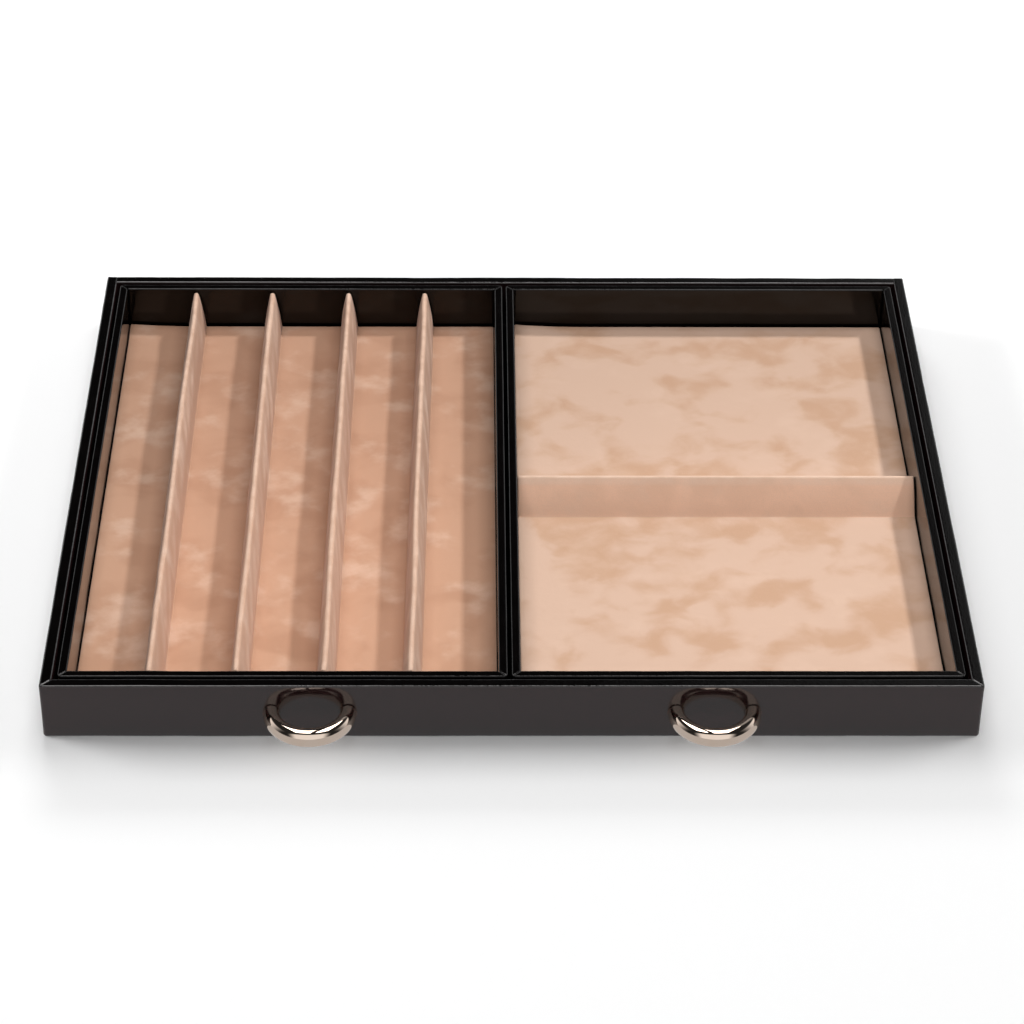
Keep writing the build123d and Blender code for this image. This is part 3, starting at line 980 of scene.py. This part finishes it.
def pull_mesh(low, high):
    """A half ring between two corners of its box, bent from an oval bar with softly rounded ends."""
    settings = bpy.context.scene.drawer_pulls
    centre = Vector(((low.x + high.x) / 2, high.y, (low.z + high.z) / 2))
    radius = (high.x - low.x - settings.bar_width) / 2
    # Each ring of the bar: its turn round the half ring, how far it is drawn in and how far it stands off
    rounding, steps = settings.end_rounding, settings.turn_steps
    end = [(rounding, 0.0), (0.3 * rounding, 0.3 * rounding), (0.0, rounding)]
    rings = [(0.0, *ring) for ring in end]
    rings += [(math.pi * step / steps, 0.0, 0.0) for step in range(1, steps)]
    rings += [(math.pi, *ring) for ring in reversed(end)]
    points = []
    for turn, inset, forward in rings:
        for step in range(settings.bar_steps):
            angle = 2 * math.pi * step / settings.bar_steps
            out = radius + (settings.bar_width / 2 - inset) * math.cos(angle)
            up = (settings.bar_height / 2 - inset) * math.sin(angle)
            points.append(centre + Vector((out * math.cos(turn), -out * math.sin(turn) - forward, up)))
    return points, ring_faces(len(rings), settings.bar_steps)


class DRAWER_OT_turn_pulls(bpy.types.Operator):
    """Turn the two half-ring pulls from a smooth oval bar"""

    bl_idname = "drawer.turn_pulls"
    bl_label = "Turn the pulls"

    def execute(self, context):
        finish = nickel_finish()
        for side in ("left", "right"):
            mesh = pull_mesh(*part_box(f"{side}_pull"))
            make_piece(f"{side}_half_ring", *mesh, finish, "nickel", "drawer", [f"{side}_pull"])
        return {"FINISHED"}


class DRAWER_OT_finish_inner_pieces(bpy.types.Operator):
    """Give the boards, cards, cores, linings and screws their own finishes"""

    bl_idname = "drawer.finish_inner_pieces"
    bl_label = "Finish the inner pieces"

    def execute(self, context):
        card = fibre_finish("black_card", (24, 23, 22), (12, 12, 12), 0.5 * MM)
        finishes = {
            "board": fibre_finish("pressed_board", (176, 148, 112), (128, 99, 68), 0.9 * MM),
            "card": card,
            "core": card,
            "lining": lining_finish(),
            "screw": steel_finish(),
        }
        for name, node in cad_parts.items():
            for word, finish in finishes.items():
                if word in name:
                    for slot in node.material_slots:
                        slot.material = finish
        return {"FINISHED"}


# Studio

# Half the floor's width, and the two overhead panels: how far from the middle they hang to either side and
# back, how high, how wide and deep they are, and their tint
FLOOR_REACH = 4.0
TOP_ASIDE, TOP_BACK, TOP_HEIGHT = 0.22, 0.04, 0.90
TOP_SIZE = (0.34, 0.70)
TOP_TINT = (1.03, 0.99, 0.98)

# The floor's own soft lamps: middle across and along, width, depth and share of its light
FLOOR_LAMP_HEIGHT = 1.0
FLOOR_LAMPS = {
    "overhead": (0.0, 0.5, 0.45, 1.6, 0.357),
    "behind": (-0.3, 1.9, 0.9, 0.9, 0.194),
    "left": (-2.0, 0.5, 0.9, 0.9, 0.22),
    "right": (1.6, 0.5, 0.9, 0.9, 0.178),
    "front": (0.0, -1.2, 0.9, 0.7, 0.161),
}


def floor_finish():
    """White paper: shaded near the drawer, plain white further out and evenly pale in reflections."""
    finish = bpy.data.materials.new("white_floor")
    finish.use_nodes = True
    tree = finish.node_tree
    tree.nodes.clear()
    far = put(tree, "VectorMath", {"operation": "LENGTH"}, {0: piece_points(tree)}).outputs["Value"]
    outside = ranged(tree, far, 0.38, 0.95)
    paper = put(tree, "BsdfDiffuse", inputs={"Color": (0.9, 0.9, 0.9, 1.0)}).outputs[0]
    bright = blended(tree, outside, paper, lit(tree, "Emission", 1.0))
    seen = blended(tree, seen_directly(tree), paper, bright)
    even = lit(tree, "Emission", bpy.context.scene.drawer_studio.table_glow)
    in_reflections = put(tree, "LightPath").outputs["Is Glossy Ray"]
    put(tree, "OutputMaterial", inputs={"Surface": blended(tree, in_reflections, seen, even)})
    return finish


def add_panel_lamp(name, place, target, size, brightness, shape="RECTANGLE", tint=(1.0, 1.0, 1.0)):
    """A flat lamp that looks as bright as white paper at brightness 1."""
    data = bpy.data.lights.new(name, "AREA")
    data.shape = shape
    data.size, data.size_y = size
    area = size[0] * size[1] * (math.pi / 4 if shape == "DISK" else 1.0)
    data.energy = brightness * math.pi * area
    data.color = tint
    lamp = bpy.data.objects.new(name, data)
    lamp.location = place
    lamp.rotation_euler = (Vector(target) - Vector(place)).to_track_quat("-Z", "Y").to_euler()
    lamp.visible_camera = False
    bpy.context.scene.collection.objects.link(lamp)
    return lamp


def light_at_middle(place, size):
    """Light that a level lamp of brightness 1 throws on the middle of the floor, where 1 is full white."""
    total, steps = 0.0, 20
    for row in range(steps):
        for column in range(steps):
            across = place[0] + size[0] * ((row + 0.5) / steps - 0.5)
            along = place[1] + size[1] * ((column + 0.5) / steps - 0.5)
            away = across**2 + along**2 + place[2] ** 2
            total += place[2] ** 2 / away**2
    return total / steps**2 * size[0] * size[1] / math.pi


def room_world(settings):
    """A white sweep low down behind, a pale wall that only reflections show in front, and a dark room.

    Each part's place is given by the X, Y and Z of a direction one unit long: right, back and up.
    """
    world = bpy.data.worlds.new("room")
    world.use_nodes = True
    tree = world.node_tree
    tree.nodes.clear()
    direction = parts(tree, put(tree, "TexCoord").outputs["Generated"])
    path = put(tree, "LightPath").outputs
    aside = calculated(tree, "ABSOLUTE", direction["X"], 0.0)
    rise = times(tree, ranged(tree, aside, 0.22, 0.40, 0.0, 0.22), path["Is Glossy Ray"])
    low_down = ranged(tree, calculated(tree, "SUBTRACT", direction["Z"], rise), 0.28, 0.42, 1.0, 0.0)
    swept = times(tree, low_down, ranged(tree, direction["Y"], -0.45, 0.35))
    in_front = ranged(tree, direction["Y"], -0.62, -0.50, 1.0, 0.0)
    wall = times(tree, in_front, ranged(tree, aside, 0.45, 0.75, 1.0, 0.0))
    wall = times(tree, wall, path["Is Glossy Ray"])
    corner = times(tree, ranged(tree, direction["X"], 0.05, 0.16), ranged(tree, direction["Y"], 0.4, 0.6))
    corner = times(tree, corner, settings.corner_share)
    share_lit = calculated(tree, "MAXIMUM", calculated(tree, "MAXIMUM", swept, wall), corner)
    dark = lit(tree, "Background", settings.room_brightness)
    sweep = lit(tree, "Background", settings.sweep_brightness)
    room = blended(tree, share_lit, dark, sweep)
    both = blended(tree, seen_directly(tree), room, lit(tree, "Background", 1.0))
    put(tree, "OutputWorld", inputs={"Surface": both})
    return world


def light_group(name, pieces, state):
    """A group of pieces that a lamp either lights alone or leaves out, or that it throws no shadow of."""
    group = bpy.data.collections.new(name)
    for piece in pieces:
        group.objects.link(piece)
    for member in group.collection_objects:
        member.light_linking.link_state = state
    return group


def add_floor():
    """The white floor that the drawer stands on."""
    half = FLOOR_REACH
    corners = [(-half, -half, 0), (half, -half, 0), (half, half, 0), (-half, half, 0)]
    mesh = bpy.data.meshes.new("floor")
    mesh.from_pydata(corners, [], [(0, 1, 2, 3)])
    mesh.materials.append(floor_finish())
    floor = bpy.data.objects.new("floor", mesh)
    bpy.context.scene.collection.objects.link(floor)
    return floor


def add_key_lamp(settings):
    """The round lamp that throws the crisp shadows. Reflections don't show it."""
    middle = Vector((0.0, 0.0, 0.01))
    place = Vector(settings.key_place)
    area = math.pi * settings.key_size**2 / 4
    distance = (place - middle).length
    slope = (place.z - middle.z) / distance
    brightness = settings.key_share * math.pi * distance**2 / (area * slope * slope)
    size = (settings.key_size, settings.key_size)
    lamp = add_panel_lamp("key_lamp", place, middle, size, brightness, "DISK")
    lamp.visible_glossy = False
    return lamp


def add_lamps(settings, floor):
    """The key lamp and two overhead panels for the drawer, and soft lamps that light only the floor."""
    drawer_lamps = [add_key_lamp(settings)]
    for name, across in (("left", -TOP_ASIDE), ("right", TOP_ASIDE)):
        place, under = (across, TOP_BACK, TOP_HEIGHT), (across, TOP_BACK, 0.0)
        brightness = settings.top_brightness
        lamp = add_panel_lamp(f"{name}_top_lamp", place, under, TOP_SIZE, brightness, tint=TOP_TINT)
        drawer_lamps.append(lamp)
    floor_lamps = []
    for name, (across, along, width, depth, part) in FLOOR_LAMPS.items():
        place, under, size = (across, along, FLOOR_LAMP_HEIGHT), (across, along, 0.0), (width, depth)
        brightness = part / light_at_middle(place, size)
        floor_lamps.append(add_panel_lamp(f"{name}_floor_lamp", place, under, size, brightness))
    only_floor = light_group("floor_only", [floor], "INCLUDE")
    not_floor = light_group("all_but_floor", [floor], "EXCLUDE")
    pulls = [bpy.data.objects[f"{side}_half_ring"] for side in ("left", "right")]
    not_pulls = light_group("all_but_pulls", pulls, "EXCLUDE")
    for lamp in drawer_lamps:
        lamp.light_linking.receiver_collection = not_floor
    for lamp in floor_lamps:
        lamp.light_linking.receiver_collection = only_floor
        lamp.light_linking.blocker_collection = not_pulls


def add_camera(settings):
    """The camera, from where it stands, its lens and its turns."""
    data = bpy.data.cameras.new("camera")
    data.lens = settings.lens
    data.sensor_width = 36.0
    data.clip_start, data.clip_end = 0.01, 20.0
    camera = bpy.data.objects.new("camera", data)
    bpy.context.scene.collection.objects.link(camera)
    aim = Matrix.Rotation(-settings.yaw, 4, "Z") @ Matrix.Rotation(math.pi / 2 - settings.pitch, 4, "X")
    aim = aim @ Matrix.Rotation(settings.roll, 4, "Z")
    camera.matrix_world = Matrix.Translation(settings.camera_place) @ aim
    return camera


class DRAWER_OT_set_stage(bpy.types.Operator):
    """Set the white floor, the lamps, the room and the camera"""

    bl_idname = "drawer.set_stage"
    bl_label = "Set the stage"

    def execute(self, context):
        scene = context.scene
        settings = scene.drawer_studio
        add_lamps(settings, add_floor())
        scene.world = room_world(settings)
        scene.camera = add_camera(settings)
        scene.view_settings.view_transform = "Standard"
        return {"FINISHED"}


STEPS = (
    DRAWER_OT_cover_walls,
    DRAWER_OT_cover_frames,
    DRAWER_OT_lay_pleated_suede,
    DRAWER_OT_lay_divided_suede,
    DRAWER_OT_turn_pulls,
    DRAWER_OT_finish_inner_pieces,
    DRAWER_OT_set_stage,
)


class DRAWER_PT_panel(bpy.types.Panel):
    """The drawer's sizes, colours and making steps"""

    bl_label = "Jewellery Drawer"
    bl_idname = "DRAWER_PT_panel"
    bl_space_type = "VIEW_3D"
    bl_region_type = "UI"
    bl_category = "Drawer"

    def draw(self, context):
        for name, kind in SETTINGS.items():
            box = self.layout.box()
            for setting in kind.__annotations__:
                box.prop(getattr(context.scene, name), setting)
        for step in STEPS:
            self.layout.operator(step.bl_idname)


def register():
    for name, kind in SETTINGS.items():
        bpy.utils.register_class(kind)
        setattr(bpy.types.Scene, name, PointerProperty(type=kind))
    for kind in (*STEPS, DRAWER_PT_panel):
        bpy.utils.register_class(kind)


def unregister():
    for kind in (DRAWER_PT_panel, *reversed(STEPS)):
        bpy.utils.unregister_class(kind)
    for name, kind in SETTINGS.items():
        delattr(bpy.types.Scene, name)
        bpy.utils.unregister_class(kind)


def main():
    """Make every piece in order."""
    register()
    bpy.ops.drawer.cover_walls()
    bpy.ops.drawer.cover_frames()
    bpy.ops.drawer.lay_pleated_suede()
    bpy.ops.drawer.lay_divided_suede()
    bpy.ops.drawer.turn_pulls()
    bpy.ops.drawer.finish_inner_pieces()
    bpy.ops.drawer.set_stage()


if __name__ == "__main__":
    main()
